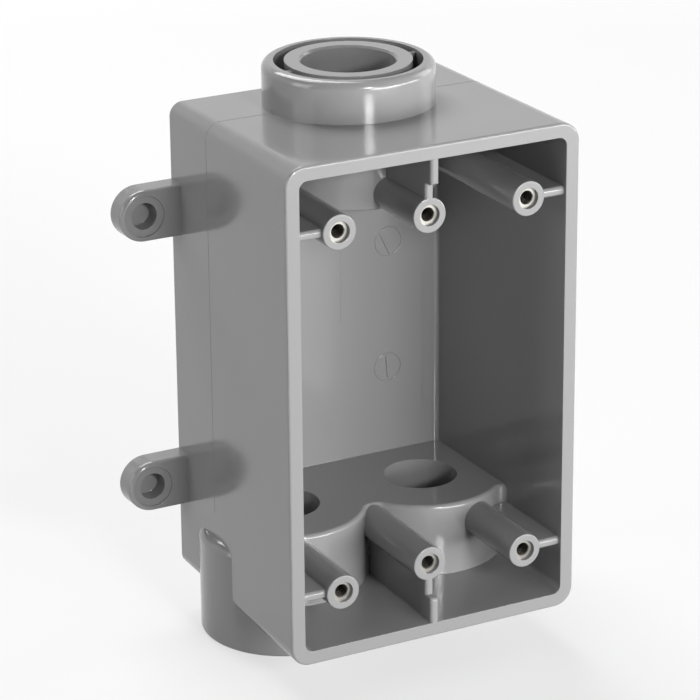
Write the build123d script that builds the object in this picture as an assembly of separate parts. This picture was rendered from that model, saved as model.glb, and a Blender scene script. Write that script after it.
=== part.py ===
from build123d import *
import os
from math import sqrt

# A one-gang weatherproof box: a single PVC moulding, open at the front, with one conduit hub
# on top, two side by side below, six screw bosses with threaded inserts and four wall ears.
# The origin is the middle of the back face, which lies on the wall. +Z is up, +Y runs into
# the wall, and the open front looks along -Y. All sizes are in millimetres.

# Shell: the walls lean out towards the rim, so that the box leaves its mould
depth = 60.2
rim_width = 72.8
rim_height = 117.2
back_width = 70.9
back_height = 114.7
rim_corner_radius = 4.6
back_corner_radius = 3.2
side_wall = 3.3
back_wall = 3.2
inner_corner_radius = 2.0
inner_floor_radius = 1.0
rim_edge_radius = 0.5

# Conduit hubs: each holds a cemented conduit in a sleeve, and is cored out round that sleeve
conduit_diameter = 21.34
socket_clearance = 0.05
socket_depth = 22.0
socket_chamfer = 0.5
throat_radius = 8.75
sleeve_wall = 3.8
core_gap = 2.4
core_depth = 20.0
hub_wall = 2.75
hub_reach = 67.7
hub_setback = 0.1
hub_edge_radius = 1.8
hub_end_edge_radius = 0.6
lower_hub_edge_radius = 1.0
core_rib_width = 1.3
core_rib_drop = 0.8

# How far the hubs run inside the box, and the twin hubs' bulge through its sides
top_hub_inner_end = 38.0
shelf_height = -37.3
shelf_edge_radius = 1.0
valley_radius = 3.1
wall_blend_radius = 1.5
wall_blend_seat = 0.02
bulge_top = -42.0
bulge_edge_radius = 2.6

# Screw bosses, each tied to the nearest wall by a web
cover_screw_pitch_x = 46.94
cover_screw_pitch_z = 85.0
device_screw_pitch = 83.34
boss_radius = 4.03
device_boss_recess = 2.55
cover_web_recess = 1.0
web_thickness = 2.1
rim_web_length = 6.0
rim_web_recess = 0.1
web_edge_radius = 0.8
boss_edge_radius = 0.25

# Threaded inserts, set a little below each boss's face
insert_radius = 2.43
insert_length = 9.5
insert_recess = 1.0
thread_radius = 1.42
thread_lead_in = 0.4
waist_depth = 0.35
waist_length = 2.0
screw_tail_radius = 1.9
screw_tail_depth = 8.0

# Wall ears, each with a counterbored hole left closed by a thin skin at the back
ear_reach = 50.8
ear_spacing_z = 66.4
ear_radius = 6.2
ear_thickness = 5.3
ear_draft_angle = 1.5
ear_edge_radius = 0.9
ear_hole_radius = 3.15
ear_skin = 0.8
counterbore_radius = 4.85
counterbore_depth = 0.5

# Sizes that follow from the ones above
socket_radius = conduit_diameter / 2 + socket_clearance
sleeve_radius = socket_radius + sleeve_wall
core_radius = sleeve_radius + core_gap
hub_radius = core_radius + hub_wall
hub_axis_depth = hub_radius + hub_setback
hub_offset_x = core_radius + hub_wall / 2
insert_depth = insert_recess + insert_length


def y_at(distance_from_wall):
    """The y of a plane this far in front of the wall."""
    return -distance_from_wall


def width_at(distance_from_wall):
    """The box's outer width this far in front of the wall."""
    return back_width + (rim_width - back_width) * distance_from_wall / depth


def height_at(distance_from_wall):
    """The box's outer height this far in front of the wall."""
    return back_height + (rim_height - back_height) * distance_from_wall / depth


def box_section(distance_from_wall, inset, corner_radius):
    """A rounded rectangle parallel to the wall, as large as the box there less an inset."""
    width = width_at(distance_from_wall) - 2 * inset
    height = height_at(distance_from_wall) - 2 * inset
    return Plane.XZ.offset(distance_from_wall) * RectangleRounded(width, height, corner_radius)


def drafted_shell():
    """The outside form of the box, and the box hollowed by its core."""
    outside = loft([box_section(0, 0, back_corner_radius), box_section(depth, 0, rim_corner_radius)])
    outside = fillet(outside.edges().group_by(Axis.Y)[0], rim_edge_radius)
    cavity = loft([
        box_section(back_wall, side_wall, inner_corner_radius),
        box_section(depth, side_wall, inner_corner_radius),
    ])
    cavity = fillet(cavity.edges().group_by(Axis.Y)[-1], inner_floor_radius)
    return outside, outside - cavity


def top_hub():
    """The top hub from its mouth down to its inner end, with the block that backs it inside."""
    length = hub_reach - top_hub_inner_end
    axis = Pos(0, y_at(hub_axis_depth), top_hub_inner_end)
    barrel = axis * Cylinder(hub_radius, length, align=(Align.CENTER, Align.CENTER, Align.MIN))
    barrel = fillet(barrel.edges().group_by(Axis.Z)[-1], hub_edge_radius)
    top_wall_middle = height_at(hub_axis_depth) / 2 - side_wall / 2
    backing = axis * Box(
        2 * hub_radius,
        hub_axis_depth - back_wall / 2,
        top_wall_middle - top_hub_inner_end,
        align=(Align.CENTER, Align.MIN, Align.MIN),
    )
    hub = barrel + backing
    return fillet(hub.edges().group_by(Axis.Z)[0], hub_end_edge_radius)


def twin_hub_outline():
    """The two lower hubs seen from below, with the valleys between them rounded."""
    outline = Sketch()
    for side in (-1, 1):
        outline += Pos(side * hub_offset_x, y_at(hub_axis_depth)) * Circle(hub_radius)
    valleys = outline.vertices().filter_by_position(Axis.X, -valley_radius, valley_radius)
    return fillet(valleys, valley_radius)


def wall_strip(side):
    """A strip of side wall seen from below, set a hair into the wall that it stands for."""
    def inner_x(distance_from_wall):
        return side * (width_at(distance_from_wall) / 2 - side_wall + wall_blend_seat)
    return make_face(Polyline(
        (inner_x(hub_axis_depth), y_at(hub_axis_depth)),
        (inner_x(depth), y_at(depth)),
        (side * rim_width / 2, y_at(depth)),
        (side * rim_width / 2, y_at(hub_axis_depth)),
        close=True,
    ))


def wall_corners(plan):
    """The two corners where the twin hubs, seen from below, run into the side walls."""
    nearest = y_at(depth - wall_blend_radius)
    farthest = y_at(hub_axis_depth + wall_blend_radius)
    corners = plan.vertices().filter_by_position(Axis.Y, nearest, farthest)
    return [corner for corner in corners if abs(corner.X) > hub_offset_x]


def lower_hubs(outside):
    """The twin hubs: outside, where they bulge from the sides, and as housings in the box."""
    outline = twin_hub_outline()
    barrels = extrude(Pos(0, 0, -hub_reach) * outline, bulge_top + hub_reach, dir=(0, 0, 1))
    barrels = fillet(barrels.edges().group_by(Axis.Z)[0], lower_hub_edge_radius)
    barrels = fillet(barrels.edges().group_by(Axis.Z)[-1], bulge_edge_radius)
    backing = Pos(0, y_at(hub_axis_depth)) * Rectangle(
        rim_width, hub_axis_depth - back_wall / 2, align=(Align.CENTER, Align.MIN)
    )
    plan = outline + backing + wall_strip(-1) + wall_strip(1)
    plan = fillet(wall_corners(plan), wall_blend_radius)
    floor_middle = height_at(hub_axis_depth) / 2 - side_wall / 2
    housing = extrude(Pos(0, 0, -floor_middle) * plan, floor_middle + shelf_height, dir=(0, 0, 1))
    housing = fillet(housing.edges().group_by(Axis.Z)[-1], shelf_edge_radius)
    return barrels, housing & outside


def hub_core():
    """What the core pins leave in a hub: socket, throat, and the ring gap with its four ribs.

    The mouth is at z = 0 and the core runs down.
    """
    down = (Align.CENTER, Align.CENTER, Align.MAX)
    socket = Cylinder(socket_radius, socket_depth, align=down)
    mouth = Cone(socket_radius, socket_radius + socket_chamfer, socket_chamfer, align=down)
    ring = Cylinder(core_radius, core_depth, align=down) - Cylinder(sleeve_radius, core_depth, align=down)
    for turn in range(2):
        ring -= Pos(0, 0, -core_rib_drop) * Rot(0, 0, 90 * turn) * Box(
            2 * hub_radius, core_rib_width, core_depth, align=down
        )
    return socket + mouth + ring


def throat(inner_end):
    """The way from the socket into the box, for a hub whose mouth is at z = 0."""
    return Cylinder(throat_radius, hub_reach - abs(inner_end), align=(Align.CENTER, Align.CENTER, Align.MAX))


def boss_places():
    """Name, x, z, recess below the rim, and how far from the wall each boss ends."""
    places = []
    for row, up in (("top", 1), ("bottom", -1)):
        z = up * cover_screw_pitch_z / 2
        for column, side in (("left", -1), ("right", 1)):
            places.append((f"cover_insert_{row}_{column}", side * cover_screw_pitch_x / 2, z, 0.0))
        places.append((f"device_insert_{row}", 0.0, up * device_screw_pitch / 2, device_boss_recess))
    return places


def boss_end(x, z):
    """How far in front of the wall a boss is buried: in the back wall, or in a hub behind it."""
    if z > 0 and x != 0:
        return back_wall / 2
    if z > 0:
        return hub_axis_depth + sqrt(hub_radius**2 - boss_radius**2)
    if x != 0:
        return hub_axis_depth + sqrt(core_radius**2 - boss_radius**2)
    return hub_axis_depth + hub_radius / 2


def rounded_web(sketch, length):
    """A web run out from this sketch, with the edges of its front rounded."""
    web = extrude(sketch, length)
    return fillet(web.edges().group_by(Axis.Y)[0], web_edge_radius)


def boss_and_web(x, z, recess):
    """One screw boss, solid as yet, with the web that ties it to the nearest wall."""
    end = boss_end(x, z)
    front = depth - recess
    forward = Plane.XZ.offset(end)
    boss = extrude(forward * Pos(x, z) * Circle(boss_radius), front - end)
    boss = fillet(boss.edges().group_by(Axis.Y)[0], boss_edge_radius)
    if x != 0:
        side = 1 if x > 0 else -1
        wall_x = side * (width_at(end) / 2 - side_wall / 2)
        web_sketch = Pos((x + wall_x) / 2, z) * Rectangle(abs(wall_x - x), web_thickness)
        return boss + rounded_web(forward * web_sketch, front - cover_web_recess - end)
    up = 1 if z > 0 else -1
    wall_z = up * (height_at(end) / 2 - side_wall / 2)
    web_sketch = Pos(0, (z + wall_z) / 2) * Rectangle(web_thickness, abs(wall_z - z))
    boss += rounded_web(forward * web_sketch, front - end)
    step_z = up * (rim_height / 2 - side_wall - rim_web_length)
    rim_web_sketch = Pos(0, (step_z + wall_z) / 2) * Rectangle(web_thickness, abs(wall_z - step_z))
    return boss + rounded_web(forward * rim_web_sketch, depth - rim_web_recess - end)


def insert_pocket(x, z, recess):
    """The hole in a boss: the insert's seat, and room behind it for the screw's tail."""
    front = Plane.XZ.offset(depth - recess)
    seat = extrude(front * Pos(x, z) * Circle(insert_radius), -insert_depth)
    tail = extrude(front * Pos(x, z) * Circle(screw_tail_radius), -(insert_depth + screw_tail_depth))
    return seat + tail


def ear(side, up):
    """One wall ear: a drafted, round-ended plate, with its front edge rounded."""
    hole_x = side * (ear_reach - ear_radius)
    root_x = back_width / 2 - side_wall / 2
    length = ear_reach - root_x
    reach = Pos(side * length / 2, 0) * Rectangle(length, 2 * ear_radius)
    outline = SlotOverall(2 * length, 2 * ear_radius) & reach
    z = up * ear_spacing_z / 2
    plate = extrude(Plane.XZ * Pos(side * root_x, z) * outline, ear_thickness, taper=ear_draft_angle)
    plate = fillet(plate.edges().group_by(Axis.Y)[0], ear_edge_radius)
    front = Plane.XZ.offset(ear_thickness) * Pos(hole_x, z)
    plate -= extrude(front * Circle(counterbore_radius), -counterbore_depth)
    return plate - extrude(front * Circle(ear_hole_radius), -(ear_thickness - ear_skin))


def box_body():
    """The whole moulding."""
    outside, body = drafted_shell()
    barrels, housing = lower_hubs(outside)
    for lump in (top_hub(), barrels, housing):
        body += lump
    for _, x, z, recess in boss_places():
        body += boss_and_web(x, z, recess)
    for _, x, z, recess in boss_places():
        body -= insert_pocket(x, z, recess)
    top = Pos(0, y_at(hub_axis_depth), hub_reach)
    body -= top * (hub_core() + throat(top_hub_inner_end))
    for side in (-1, 1):
        bottom = Pos(side * hub_offset_x, y_at(hub_axis_depth), -hub_reach) * Rot(180, 0, 0)
        body -= bottom * (hub_core() + throat(shelf_height))
    for side in (-1, 1):
        for up in (-1, 1):
            body += ear(side, up)
    return body


def threaded_insert(x, z, recess):
    """A turned insert with a waist for the plastic to grip; its screw thread is left plain."""
    waist_start = (insert_length - waist_length) / 2
    waist_radius = insert_radius - waist_depth
    half_section = Polyline(
        (thread_radius, thread_lead_in),
        (thread_radius + thread_lead_in, 0),
        (insert_radius, 0),
        (insert_radius, waist_start),
        (waist_radius, waist_start + waist_depth),
        (waist_radius, waist_start + waist_length - waist_depth),
        (insert_radius, waist_start + waist_length),
        (insert_radius, insert_length),
        (thread_radius, insert_length),
        close=True,
    )
    turned = revolve(make_face(half_section), Axis.Y)
    return Pos(x, y_at(depth - recess - insert_recess), z) * turned


os.makedirs("parts", exist_ok=True)
export_step(box_body(), "parts/box_body.step")
for name, x, z, recess in boss_places():
    export_step(threaded_insert(x, z, recess), f"parts/{name}.step")
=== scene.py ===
# %% [markdown]
# # A moulded weatherproof box, dressed around its solid model
#
# The solid model says how large each piece is and where it sits. This lesson gives the pieces
# their finish: a glossy grey plastic with softened edges, turned metal inserts with a real
# screw thread, and the thin raised lines that a mould leaves. Then it frames and lights the
# box. All lengths are in metres: X to the right, Y into the wall, Z up.

# %% Load the solid model
from math import cos, pi, radians, sin

import bpy
from mathutils import Matrix, Vector


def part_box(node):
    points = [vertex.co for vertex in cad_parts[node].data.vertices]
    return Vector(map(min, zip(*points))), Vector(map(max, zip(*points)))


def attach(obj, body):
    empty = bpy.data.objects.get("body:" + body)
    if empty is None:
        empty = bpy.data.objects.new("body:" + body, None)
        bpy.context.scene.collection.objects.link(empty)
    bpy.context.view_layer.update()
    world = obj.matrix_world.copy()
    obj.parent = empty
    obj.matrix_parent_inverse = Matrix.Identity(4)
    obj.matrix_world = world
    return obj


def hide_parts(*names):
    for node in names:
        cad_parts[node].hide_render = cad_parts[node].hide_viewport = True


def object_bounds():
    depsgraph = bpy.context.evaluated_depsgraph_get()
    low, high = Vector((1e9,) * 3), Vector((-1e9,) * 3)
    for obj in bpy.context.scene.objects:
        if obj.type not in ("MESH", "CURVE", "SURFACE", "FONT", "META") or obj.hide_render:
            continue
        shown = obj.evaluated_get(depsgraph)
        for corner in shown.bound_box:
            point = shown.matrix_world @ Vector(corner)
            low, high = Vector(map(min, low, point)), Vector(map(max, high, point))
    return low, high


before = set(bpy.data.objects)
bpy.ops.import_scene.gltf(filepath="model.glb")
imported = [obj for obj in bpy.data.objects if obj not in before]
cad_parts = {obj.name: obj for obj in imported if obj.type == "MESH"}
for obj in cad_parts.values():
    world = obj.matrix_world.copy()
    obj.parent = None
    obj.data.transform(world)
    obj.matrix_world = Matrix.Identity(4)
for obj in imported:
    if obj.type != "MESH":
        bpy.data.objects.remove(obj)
cad_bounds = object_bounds()
MM = 0.001
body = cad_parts["box_body"]
insert_names = sorted(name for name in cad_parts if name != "box_body")
print("inserts:", ", ".join(insert_names))

# %% [markdown]
# ## Small helpers
#
# An operator acts on whatever is selected, and a freshly loaded model is selected all over, so
# every step starts from an empty selection. A finished piece keeps its object at the origin
# with its place in its mesh. Colours are written as hex, as a designer would pick them on a
# screen, and one function turns them into the linear values that light needs.

# %% Selection and modifiers


def select_only(*pieces):
    """Leaves these pieces alone selected, the last one active, for the operators."""
    bpy.ops.object.select_all(action="DESELECT")
    for piece in pieces:
        piece.select_set(True)
        bpy.context.view_layer.objects.active = piece


def select_parts(piece, kind, test):
    """Opens a piece for editing, with its VERTs, EDGEs or FACEs that pass a test selected."""
    select_only(piece)
    bpy.ops.object.mode_set(mode="EDIT")
    bpy.ops.mesh.select_mode(type=kind)
    bpy.ops.mesh.select_all(action="DESELECT")
    bpy.ops.object.mode_set(mode="OBJECT")
    mesh = piece.data
    for part in {"VERT": mesh.vertices, "EDGE": mesh.edges, "FACE": mesh.polygons}[kind]:
        part.select = test(part)
    bpy.ops.object.mode_set(mode="EDIT")


def apply_modifier(piece, kind, **settings):
    """Adds a modifier with these settings to a piece, and applies it."""
    modifier = piece.modifiers.new(kind.lower(), kind)
    for name, value in settings.items():
        setattr(modifier, name, value)
    select_only(piece)
    bpy.ops.object.modifier_apply(modifier=modifier.name)


def finish_piece(name, material):
    """Names the active object, moves its place into its mesh, paints and fixes it."""
    piece = bpy.context.object
    select_only(piece)
    bpy.ops.object.transform_apply(location=True, rotation=True, scale=True)
    piece.name = name
    piece.data.name = name
    piece.data.materials.clear()
    piece.data.materials.append(material)
    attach(piece, "root")
    return piece


# %% Colour and material nodes


def linear(hex_colour):
    """The linear colour of an sRGB hex value such as #8090a0."""
    channels = [int(hex_colour[i:i + 2], 16) / 255 for i in (1, 3, 5)]
    curve = [c / 12.92 if c <= 0.04045 else ((c + 0.055) / 1.055) ** 2.4 for c in channels]
    return curve + [1.0]


def add_node(tree, kind, settings=None, **inputs):
    """Adds a node with its settings. Each input is a value or another node's output socket.

    An input is named as on the node, with _ for a space, or by its number, as in _0.
    """
    node = tree.nodes.new(kind)
    for name, value in (settings or {}).items():
        setattr(node, name, value)
    for name, value in inputs.items():
        key = int(name[1:]) if name[1:].isdigit() else name.replace("_", " ")
        socket = node.inputs[key]
        if isinstance(value, bpy.types.NodeSocket):
            tree.links.new(value, socket)
        else:
            socket.default_value = value
    return node


def new_material(name):
    """An empty node material, its tree, and places measured on the piece that wears it."""
    material = bpy.data.materials.new(name)
    material.use_nodes = True
    tree = material.node_tree
    tree.nodes.clear()
    return material, tree, add_node(tree, "ShaderNodeTexCoord").outputs["Object"]


# %% [markdown]
# ## The plastic
#
# The box is rigid PVC, injection moulded in a polished steel mould. That gives a dense, glossy
# skin whose reflections are a little soft, because PVC isn't polished afterwards. As the walls
# cool they pull the skin into a very slight waviness, and small pits and specks are left where
# the mould is worn. No moulded edge is quite sharp, so the shader's Bevel rounds the smallest
# ones, while the larger roundings are in the solid model.

# %% Moulded grey PVC: satin gloss, slight waves, small specks
PVC_COLOUR = "#8c8c8c"
PVC_IOR = 1.53
PVC_ROUGHNESS = (0.11, 0.15)
WAVE_LENGTH = 16 * MM
WAVE_HEIGHT = 0.03 * MM
SPECK_SPACING = 1.1 * MM
SPECK_HEIGHT = 0.006 * MM
SPECK_DETAIL = 3.0
SMOOTH_DETAIL = 1.0
# Nearly all of a noise pattern lies between these two values.
USUAL_NOISE = (0.35, 0.65)
SMALLEST_EDGE_RADIUS = 0.2 * MM
BEVEL_SAMPLES = 6

moulded_pvc, tree, place = new_material("moulded_grey_pvc")
waves = add_node(
    tree, "ShaderNodeTexNoise", Vector=place, Scale=1 / WAVE_LENGTH, Detail=SMOOTH_DETAIL
)
specks = add_node(
    tree, "ShaderNodeTexNoise", Vector=place, Scale=1 / SPECK_SPACING, Detail=SPECK_DETAIL
)
roughness = add_node(
    tree, "ShaderNodeMapRange", Value=waves.outputs[0],
    From_Min=USUAL_NOISE[0], From_Max=USUAL_NOISE[1],
    To_Min=PVC_ROUGHNESS[0], To_Max=PVC_ROUGHNESS[1],
)
soft_edges = add_node(
    tree, "ShaderNodeBevel", {"samples": BEVEL_SAMPLES}, Radius=SMALLEST_EDGE_RADIUS
)
wavy = add_node(
    tree, "ShaderNodeBump",
    Distance=WAVE_HEIGHT, Height=waves.outputs[0], Normal=soft_edges.outputs[0],
)
speckled = add_node(
    tree, "ShaderNodeBump",
    Distance=SPECK_HEIGHT, Height=specks.outputs[0], Normal=wavy.outputs[0],
)
plastic = add_node(
    tree, "ShaderNodeBsdfPrincipled", Base_Color=linear(PVC_COLOUR), IOR=PVC_IOR,
    Roughness=roughness.outputs[0], Normal=speckled.outputs[0],
)
add_node(tree, "ShaderNodeOutputMaterial", Surface=plastic.outputs[0])
body.data.materials.clear()
body.data.materials.append(moulded_pvc)
print("plastic:", moulded_pvc.name, PVC_COLOUR)

# %% [markdown]
# ## The metal of the inserts
#
# The inserts are brass, turned on a lathe and nickelled against corrosion. The turning tool
# leaves rings round the axis that are too fine to see one by one, and the plating softens
# them: the eye gets a dull grey metal with a soft, slightly broken shine. The thread is painted
# darker, as painted shade deep in the bore. How much is written into the insert's mesh once it
# is tapped.

# %% Nickelled brass: dull grey metal, turned and softly shiny, with painted shade in its thread
NICKEL_COLOUR = "#96948f"
NICKEL_ROUGHNESS = 0.5
# The colour of the painted shade in the thread, not a colour of the metal itself.
BORE_SHADE_COLOUR = "#45423e"
SHADE_ATTRIBUTE = "painted_bore_shade"
TOOL_MARK_SPACING = 0.25 * MM
TOOL_MARK_HEIGHT = 0.01 * MM

nickelled_brass, tree, place = new_material("nickelled_brass")
tool_marks = add_node(
    tree, "ShaderNodeTexNoise", Vector=place, Scale=1 / TOOL_MARK_SPACING, Detail=SMOOTH_DETAIL
)
turned = add_node(
    tree, "ShaderNodeBump", Distance=TOOL_MARK_HEIGHT, Height=tool_marks.outputs[0]
)
# Painted shade: inside the bore the metal turns to the dark colour, standing in for the shade
# that falls there.
how_shaded = add_node(tree, "ShaderNodeAttribute", {"attribute_name": SHADE_ATTRIBUTE}).outputs["Fac"]
painted_shade = add_node(
    tree, "ShaderNodeMix", {"data_type": "RGBA"},
    _0=how_shaded, _6=linear(NICKEL_COLOUR), _7=linear(BORE_SHADE_COLOUR),
)
metal = add_node(
    tree, "ShaderNodeBsdfPrincipled", Base_Color=painted_shade.outputs[2], Metallic=1.0,
    Roughness=NICKEL_ROUGHNESS, Normal=turned.outputs[0],
)
add_node(tree, "ShaderNodeOutputMaterial", Surface=metal.outputs[0])
print("metal:", nickelled_brass.name, NICKEL_COLOUR)

# %% [markdown]
# ## The threaded inserts
#
# Each boss holds a turned insert for a 6-32 screw: 3.5 mm across, 32 threads to the inch. The
# solid model leaves its bore plain, so here the thread is cut. A texture can't show a thread
# that the eye looks into, so it is modelled. One insert is made as in a workshop: a rod is
# bored by an inset and a bridge, its lead-in is turned, its skin is waisted where the plastic
# grips it, and a small triangle wound by the Screw modifier taps the thread.

# %% Measure one insert of the solid model
THREAD_PITCH = 25.4 * MM / 32
THREAD_MAJOR_RADIUS = 1.75 * MM
THREAD_MINOR_RADIUS = 1.42 * MM
ROUND_STEPS = 48

low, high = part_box(insert_names[0])
insert_radius = (high.x - low.x) / 2
insert_length = high.y - low.y
insert_middle = (low + high) / 2
print("insert radius %.2f mm, length %.2f mm" % (insert_radius / MM, insert_length / MM))

# %% Turn the insert: a rod, bored, with a small bevel where the bore opens
LEAD_IN = 0.22 * MM
ALONG_AXIS = 0.9
SAME_LEVEL = 0.5 * MM
select_only()
bpy.ops.mesh.primitive_cylinder_add(
    vertices=ROUND_STEPS, radius=insert_radius, depth=insert_length, end_fill_type="NGON",
    location=insert_middle, rotation=(pi / 2, 0, 0),
)
insert = bpy.context.object
bpy.ops.object.transform_apply(location=True, rotation=True, scale=True)
select_parts(insert, "FACE", lambda face: abs(face.normal.y) > ALONG_AXIS)
bpy.ops.mesh.inset(thickness=insert_radius - THREAD_MINOR_RADIUS)
bpy.ops.mesh.bridge_edge_loops()
bpy.ops.object.mode_set(mode="OBJECT")


def from_axis(point):
    """How far a point of the insert lies from its axis."""
    return Vector((point.x - insert_middle.x, point.z - insert_middle.z)).length


def at_mouth(edge):
    """Whether an edge runs round the front or back mouth of the bore."""
    first, last = (insert.data.vertices[index].co for index in edge.vertices)
    level = abs(first.y - last.y) < SAME_LEVEL
    return level and max(from_axis(first), from_axis(last)) < THREAD_MAJOR_RADIUS


select_parts(insert, "EDGE", at_mouth)
bpy.ops.mesh.bevel(offset=LEAD_IN, segments=1)
bpy.ops.object.mode_set(mode="OBJECT")
print("bored insert:", len(insert.data.polygons), "faces")

# %% Pull in the waist
WAIST_LENGTH = 2.0 * MM
WAIST_DEPTH = 0.35 * MM
waist_end = WAIST_LENGTH / 2
bpy.ops.object.mode_set(mode="EDIT")
for step in (-waist_end, WAIST_DEPTH - waist_end, waist_end - WAIST_DEPTH, waist_end):
    bpy.ops.mesh.select_all(action="SELECT")
    bpy.ops.mesh.bisect(plane_co=(0, insert_middle.y + step, 0), plane_no=(0, 1, 0))
bpy.ops.object.mode_set(mode="OBJECT")


def in_waist(vertex):
    """Whether a point lies on the skin of the insert, between the slopes of its waist."""
    on_skin = from_axis(vertex.co) > THREAD_MAJOR_RADIUS
    return on_skin and abs(vertex.co.y - insert_middle.y) < waist_end - WAIST_DEPTH / 2


waist_scale = (insert_radius - WAIST_DEPTH) / insert_radius
select_parts(insert, "VERT", in_waist)
bpy.ops.transform.resize(value=(waist_scale, 1, waist_scale), center_override=insert_middle)
bpy.ops.object.mode_set(mode="OBJECT")
print("waist radius %.2f mm" % (insert_radius * waist_scale / MM))

# %% Tap the thread
# A circle of three corners is a triangle with the thread's 60 degree flanks. Its point reaches
# the thread's full depth and its base lies in the empty bore. Wound up, it is what a tap cuts.
# The tap is longer than the insert, so that it comes out at both ends.
TAP_SIZE = 0.42 * MM
TAP_CORNERS = 3
TURNS = int(insert_length / THREAD_PITCH) + 2
SAME_POINT = 0.001 * MM
SHARP_THREAD = radians(30)
select_only()
bpy.ops.mesh.primitive_circle_add(
    vertices=TAP_CORNERS, radius=TAP_SIZE, rotation=(0, 0, -pi / 2),
    location=(THREAD_MAJOR_RADIUS - TAP_SIZE, 0, 0),
)
tap = bpy.context.object
bpy.ops.object.transform_apply(location=True, rotation=True, scale=True)
apply_modifier(
    tap, "SCREW", axis="Y", screw_offset=THREAD_PITCH, iterations=TURNS,
    steps=ROUND_STEPS, render_steps=ROUND_STEPS, use_merge_vertices=True,
)
bpy.ops.object.mode_set(mode="EDIT")
bpy.ops.mesh.select_all(action="DESELECT")
bpy.ops.mesh.select_non_manifold()
bpy.ops.mesh.fill_holes(sides=TAP_CORNERS)
bpy.ops.mesh.select_all(action="SELECT")
bpy.ops.mesh.remove_doubles(threshold=SAME_POINT)
bpy.ops.mesh.normals_make_consistent(inside=False)
bpy.ops.object.mode_set(mode="OBJECT")
tap.location = (insert_middle.x, low.y - THREAD_PITCH, insert_middle.z)
bpy.ops.object.transform_apply(location=True, rotation=True, scale=True)
tap_radius = max(from_axis(vertex.co) for vertex in tap.data.vertices)
print("tap reaches a radius of %.2f mm" % (tap_radius / MM))
apply_modifier(insert, "BOOLEAN", operation="DIFFERENCE", object=tap, solver="EXACT")
bpy.data.objects.remove(tap)
select_only(insert)
bpy.ops.object.shade_smooth_by_angle(angle=SHARP_THREAD)
insert = finish_piece("threaded_insert", nickelled_brass)
print("tapped insert:", len(insert.data.polygons), "faces")

# %% Paint shade into the thread
# The painted shade is full from a little behind the mouth, and there is none on the face.
SHADE_START = 0.1 * MM
BORE_REACH = THREAD_MAJOR_RADIUS + 0.1 * MM
painted_bore_shade = insert.data.attributes.new(SHADE_ATTRIBUTE, "FLOAT", "POINT")
for vertex, value in zip(insert.data.vertices, painted_bore_shade.data):
    in_bore = from_axis(vertex.co) < BORE_REACH
    value.value = min(max((vertex.co.y - low.y) / SHADE_START, 0), 1) if in_bore else 0
print("oiled points:", sum(1 for value in painted_bore_shade.data if value.value > 0))

# %% Copy it to all six bosses
# A bare name says which CAD insert a copy stands for. Each copy has its own mesh, moved there.
for name in insert_names:
    low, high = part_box(name)
    threaded = insert.copy()
    threaded.data = insert.data.copy()
    threaded.name = "threaded_" + name
    threaded.data.transform(Matrix.Translation((low + high) / 2 - insert_middle))
    bpy.context.scene.collection.objects.link(threaded)
    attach(threaded, "root")
    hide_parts(name)
bpy.data.objects.remove(insert)
print("placed", len(insert_names), "inserts")

# %% [markdown]
# ## What the mould leaves
#
# Where the halves of the mould meet, a hair of plastic is squeezed out: the parting line, which
# runs over the top, round the corner and down each side, level with the hubs' axes. On the back
# wall two round plugs of the mould have left thin rings, with a short bar across each, and the
# edges of an insert plate two upright lines. The rings and bars stand 0.2 to 0.3 mm proud and
# the lines about 0.05 mm, enough to catch the light. All are thin solids, part sunk in a wall.

# %% Lay the parting line
# A loop with rounded corners is drawn a little outside the box, its stretches along the hubs
# are deleted, and Shrinkwrap lays what is left on the walls. Then it gets a round section.
LINE_RADIUS = 0.07 * MM
LINE_SINK = 0.02 * MM
LOOP_CLEARANCE = 0.5 * MM
LOOP_CORNER = 4.5 * MM
CORNER_STEPS = 8
LOOP_CUTS = 6
HUB_HALF_WIDTH = 19.9 * MM
BESIDE_HUB = 1.5 * HUB_HALF_WIDTH
BULGE_TOP = -36.0 * MM
PARTING_Y = -19.7 * MM


def meet_box(start, direction):
    """Where a straight line from a point, in a direction, first meets the box."""
    return body.ray_cast(Vector(start), Vector(direction))[1]


body_low, body_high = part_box("box_body")
side_hit = meet_box((body_high.x, PARTING_Y, 0), (-1, 0, 0))
top_hit = meet_box((BESIDE_HUB, PARTING_Y, body_high.z), (0, 0, -1))
print("box half width %.2f mm, half height %.2f mm" % (side_hit.x / MM, top_hit.z / MM))

select_only()
bpy.ops.mesh.primitive_plane_add(size=2, location=(0, PARTING_Y, 0), rotation=(pi / 2, 0, 0))
line = bpy.context.object
line.scale = (side_hit.x + LOOP_CLEARANCE, top_hit.z + LOOP_CLEARANCE, 1)
bpy.ops.object.transform_apply(location=True, rotation=True, scale=True)
bpy.ops.object.mode_set(mode="EDIT")
bpy.ops.mesh.select_all(action="SELECT")
bpy.ops.mesh.bevel(affect="VERTICES", offset=LOOP_CORNER, segments=CORNER_STEPS)
bpy.ops.mesh.select_all(action="SELECT")
bpy.ops.mesh.delete(type="ONLY_FACE")
for cut in (HUB_HALF_WIDTH, -HUB_HALF_WIDTH):
    bpy.ops.mesh.select_all(action="SELECT")
    bpy.ops.mesh.bisect(plane_co=(cut, 0, 0), plane_no=(1, 0, 0))
bpy.ops.mesh.select_all(action="SELECT")
bpy.ops.mesh.bisect(plane_co=(0, 0, BULGE_TOP), plane_no=(0, 0, 1), clear_inner=True)
bpy.ops.object.mode_set(mode="OBJECT")


def along_hub(edge):
    """Whether an edge of the loop runs past the top hub."""
    first, last = (line.data.vertices[index].co.x for index in edge.vertices)
    return abs(first + last) / 2 < HUB_HALF_WIDTH


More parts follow.
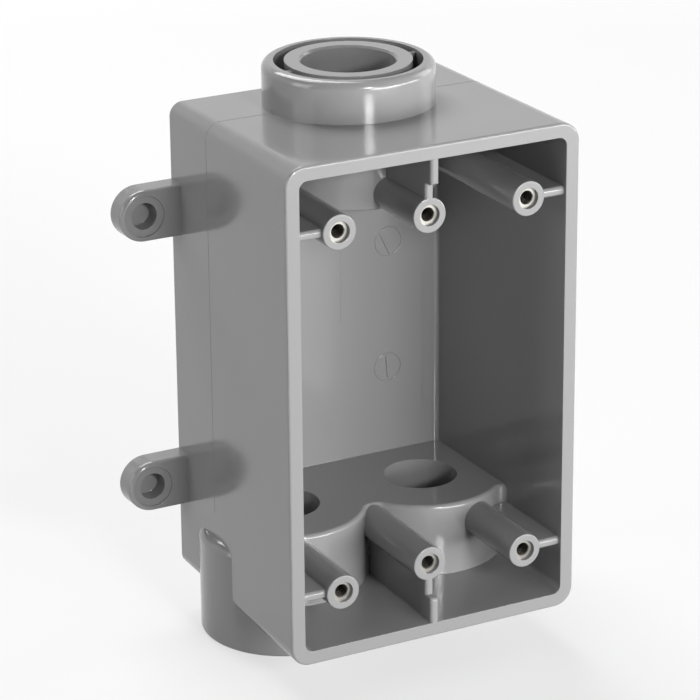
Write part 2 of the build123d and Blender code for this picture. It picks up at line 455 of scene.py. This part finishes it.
select_parts(line, "EDGE", along_hub)
bpy.ops.mesh.delete(type="EDGE")
bpy.ops.mesh.select_mode(type="VERT")
bpy.ops.mesh.select_all(action="SELECT")
bpy.ops.mesh.subdivide(number_cuts=LOOP_CUTS)
bpy.ops.object.mode_set(mode="OBJECT")
apply_modifier(
    line, "SHRINKWRAP", target=body, wrap_method="NEAREST_SURFACEPOINT", offset=-LINE_SINK
)
bpy.ops.object.convert(target="CURVE")
line.data.bevel_depth = LINE_RADIUS
line.data.bevel_resolution = 1
line.data.use_fill_caps = True
bpy.ops.object.convert(target="MESH")
line = finish_piece("parting_line", moulded_pvc)
print("parting line:", len(line.data.polygons), "faces")

# %% Raise the rings and bars on the back wall
# Places are across and up from the middle of the box, in millimetres, looking at its front.
# A bar ends with its own thickness.
MARK_FLATNESS = 0.9
RING_RADIUS = 3.5 * MM
RING_THICKNESS = 0.44 * MM
RING_STEPS = 64
SECTION_STEPS = 10
SHARP_MARK = radians(40)
RINGS = [(18.9, 16.15), (18.6, -15.7)]
BARS = [
    ((16.5, 18.8), (19.4, 12.6), 0.7),
    ((18.2, -12.8), (18.7, -18.5), 0.7),
    ((6.0, 15.8), (6.0, -2.6), 0.1),
    ((28.0, 5.8), (28.0, -27.5), 0.14),
]
wall_y = meet_box((RINGS[0][0] * MM, body_low.y, RINGS[0][1] * MM), (0, 1, 0)).y
print("back wall's inner face at y = %.2f mm" % (wall_y / MM))

marks = []
for across, up in RINGS:
    select_only()
    bpy.ops.mesh.primitive_torus_add(
        major_radius=RING_RADIUS, minor_radius=RING_THICKNESS / 2,
        major_segments=RING_STEPS, minor_segments=SECTION_STEPS,
        location=(across * MM, wall_y, up * MM), rotation=(pi / 2, 0, 0),
    )
    marks.append(bpy.context.object)
for start, end, thickness in BARS:
    start = Vector((start[0] * MM, wall_y, start[1] * MM))
    end = Vector((end[0] * MM, wall_y, end[1] * MM))
    select_only()
    bpy.ops.mesh.primitive_cylinder_add(
        vertices=SECTION_STEPS, radius=thickness * MM / 2, depth=(end - start).length,
        location=(start + end) / 2, rotation=(end - start).to_track_quat("Z", "Y").to_euler(),
    )
    marks.append(bpy.context.object)
select_only(*marks)
bpy.ops.object.transform_apply(location=True, rotation=True, scale=True)
bpy.ops.object.join()
bpy.ops.object.mode_set(mode="EDIT")
bpy.ops.mesh.select_all(action="SELECT")
bpy.ops.transform.resize(value=(1, MARK_FLATNESS, 1), center_override=(0, wall_y, 0))
bpy.ops.object.mode_set(mode="OBJECT")
bpy.ops.object.shade_smooth_by_angle(angle=SHARP_MARK)
wall_marks = finish_piece("back_wall_marks", moulded_pvc)
print("marks on the back wall:", len(wall_marks.data.polygons), "faces")

# %% [markdown]
# ## The camera
#
# The camera is described as a photographer would: how far round the box it stands, how high,
# how far away, and the small slip off centre that frames the box in a square picture. It was
# fitted to edges and circles of the box, such as its rim, bosses, hub and ears.

# %% Place the camera
CAMERA_AZIMUTH = radians(-27.502)
CAMERA_ELEVATION = radians(20.987)
CAMERA_ROLL = radians(-0.507)
CAMERA_DISTANCE = 751.757 * MM
CAMERA_SLIP_RIGHT = -18.948 * MM
CAMERA_SLIP_UP = 10.41 * MM
FOCAL_PIXELS = 3388.13
PICTURE_PIXELS = 700
SENSOR_WIDTH = 36.0


def outward(azimuth, elevation):
    """The way out from the box to a thing this far round it, from the front, and this high."""
    level = cos(elevation)
    return Vector((sin(azimuth) * level, -cos(azimuth) * level, sin(elevation)))


rim_centre = Vector((0, cad_bounds[0].y, 0))
backward = outward(CAMERA_AZIMUTH, CAMERA_ELEVATION)
level_right = (-backward).cross(Vector((0, 0, 1))).normalized()
level_up = level_right.cross(-backward)
right = level_right * cos(CAMERA_ROLL) + level_up * sin(CAMERA_ROLL)
up = level_up * cos(CAMERA_ROLL) - level_right * sin(CAMERA_ROLL)

camera = bpy.data.objects.new("camera", bpy.data.cameras.new("camera"))
bpy.context.scene.collection.objects.link(camera)
stand = (
    rim_centre + backward * CAMERA_DISTANCE
    + right * CAMERA_SLIP_RIGHT + up * CAMERA_SLIP_UP
)
axes = Matrix((right, up, backward)).transposed().to_4x4()
camera.matrix_world = Matrix.Translation(stand) @ axes
camera.data.sensor_width = SENSOR_WIDTH
camera.data.lens = FOCAL_PIXELS * SENSOR_WIDTH / PICTURE_PIXELS
bpy.context.scene.camera = camera
print("camera at", [round(c, 4) for c in stand], "lens", round(camera.data.lens, 1))

# %% [markdown]
# ## Floor and room
#
# The box stands on pale paper in front of a pale backdrop. To the camera both are plain white,
# and the paper keeps the box's shadow. What shines back from the plastic tells the room: the
# backdrop behind the box is bright up to a third of the way to the zenith, and the rest of the
# studio is dark but for its lamps. The room itself lights nothing: the lamps do, and so shaded
# corners of the box stay dark. Far out, where no lamp reaches it, the paper glows more, so that
# no edge shows between it and the backdrop.

# %% Build the room
WHITE = "#ffffff"
BACKDROP_BRIGHTNESS = 0.95
BACKDROP_EDGE = sin(radians(5))
BACKDROP_TOP = (sin(radians(25)), sin(radians(35)))
bpy.context.scene.view_settings.view_transform = "Standard"


def looked_along(tree, *kinds):
    """1 for a light path of one of these kinds, else 0."""
    path = add_node(tree, "ShaderNodeLightPath")
    found = path.outputs[kinds[0]]
    for kind in kinds[1:]:
        either = add_node(
            tree, "ShaderNodeMath", {"operation": "MAXIMUM"}, _0=found, _1=path.outputs[kind]
        )
        found = either.outputs[0]
    return found


def blend(tree, share, first, second):
    """A mix of two shader nodes: the first where the share is 0, the second where it is 1."""
    return add_node(
        tree, "ShaderNodeMixShader", _0=share, _1=first.outputs[0], _2=second.outputs[0]
    )


world = bpy.data.worlds.new("studio")
bpy.context.scene.world = world
world.use_nodes = True
world.node_tree.nodes.clear()
room = world.node_tree
outlook = add_node(room, "ShaderNodeTexCoord").outputs["Generated"]
direction = add_node(room, "ShaderNodeSeparateXYZ", Vector=outlook)
behind = add_node(
    room, "ShaderNodeMapRange", Value=direction.outputs["Y"],
    From_Min=-BACKDROP_EDGE, From_Max=BACKDROP_EDGE, To_Min=0.0, To_Max=1.0,
)
brightness = add_node(
    room, "ShaderNodeMapRange", Value=direction.outputs["Z"],
    From_Min=BACKDROP_TOP[0], From_Max=BACKDROP_TOP[1], To_Min=BACKDROP_BRIGHTNESS, To_Max=0.0,
)
shining = add_node(
    room, "ShaderNodeMath", {"operation": "MULTIPLY"},
    _0=behind.outputs[0], _1=brightness.outputs[0],
)
unlit = add_node(room, "ShaderNodeBackground", Strength=0.0)
backdrop = add_node(
    room, "ShaderNodeBackground", Color=linear(WHITE), Strength=shining.outputs[0]
)
white = add_node(room, "ShaderNodeBackground", Color=linear(WHITE), Strength=1.0)
mirrored = looked_along(room, "Is Glossy Ray", "Is Transmission Ray")
reflected = blend(room, mirrored, unlit, backdrop)
shown = blend(room, looked_along(room, "Is Camera Ray"), reflected, white)
add_node(room, "ShaderNodeOutputWorld", Surface=shown.outputs[0])
print("room:", len(room.nodes), "nodes")

# %% Lay the floor
# Its glow rises from the first value to the second between two distances from its middle.
FLOOR_SIZE = 6.0
FLOOR_COLOUR = "#9a9a9a"
FLOOR_GLOW = (0.6, 1.0)
FLOOR_FADE = (0.5, 1.5)
select_only()
bpy.ops.mesh.primitive_plane_add(size=FLOOR_SIZE, location=(0, 0, cad_bounds[0].z))
floor = bpy.context.object
floor.name = "floor"

floor_paper, tree, place = new_material("white_paper_floor")
paper = add_node(tree, "ShaderNodeBsdfDiffuse", Color=linear(FLOOR_COLOUR))
how_far = add_node(tree, "ShaderNodeVectorMath", {"operation": "LENGTH"}, _0=place)
glowing = add_node(
    tree, "ShaderNodeMapRange", Value=how_far.outputs["Value"],
    From_Min=FLOOR_FADE[0], From_Max=FLOOR_FADE[1], To_Min=FLOOR_GLOW[0], To_Max=FLOOR_GLOW[1],
)
glow = add_node(tree, "ShaderNodeEmission", Color=linear(WHITE), Strength=glowing.outputs[0])
bright = add_node(tree, "ShaderNodeAddShader", _0=paper.outputs[0], _1=glow.outputs[0])
seen = looked_along(tree, "Is Camera Ray", "Is Glossy Ray", "Is Transmission Ray")
dressed = blend(tree, seen, paper, bright)
add_node(tree, "ShaderNodeOutputMaterial", Surface=dressed.outputs[0])
floor.data.materials.append(floor_paper)
print("floor at z = %.1f mm" % (cad_bounds[0].z / MM))

# %% [markdown]
# ## Lamps
#
# The light comes from soft panels. A small bright one ahead of the box makes the white band
# down the round hub. Low ones ahead and at its right light the rim, and leave the ears and the
# inside shaded by the box's own walls. They hang low so that, seen from behind, they don't
# glare off the top. One behind lights the top, and one at each side lights that side's wall.

# %% Hang the lamps
# For each lamp: azimuth and elevation in degrees, distance, width and height in metres, watts.
LAMPS = {
    "key": (-1, 21, 1.2, 0.2, 0.16, 6.6),
    "front_low": (10, 4, 1.2, 0.25, 0.4, 3.0),
    "front_near": (20, 2, 0.5, 0.35, 0.14, 1.3),
    "right_low": (45, -1, 1.2, 1.2, 0.3, 12.2),
    "right_side": (95, 20, 1.2, 0.6, 0.8, 3.5),
    "left": (-90, 15, 1.2, 0.6, 0.8, 4.8),
    "back_high": (180, 55, 1.2, 0.8, 0.8, 14.0),
}
for name, (azimuth, elevation, distance, width, height, power) in LAMPS.items():
    out = outward(radians(azimuth), radians(elevation))
    panel = bpy.data.lights.new(name, "AREA")
    panel.shape = "RECTANGLE"
    panel.size = width
    panel.size_y = height
    panel.energy = power
    lamp = bpy.data.objects.new(name, panel)
    bpy.context.scene.collection.objects.link(lamp)
    facing = out.to_track_quat("Z", "Y").to_matrix().to_4x4()
    lamp.matrix_world = Matrix.Translation(out * distance) @ facing
    lamp.visible_camera = False
print("lamps:", ", ".join(LAMPS))
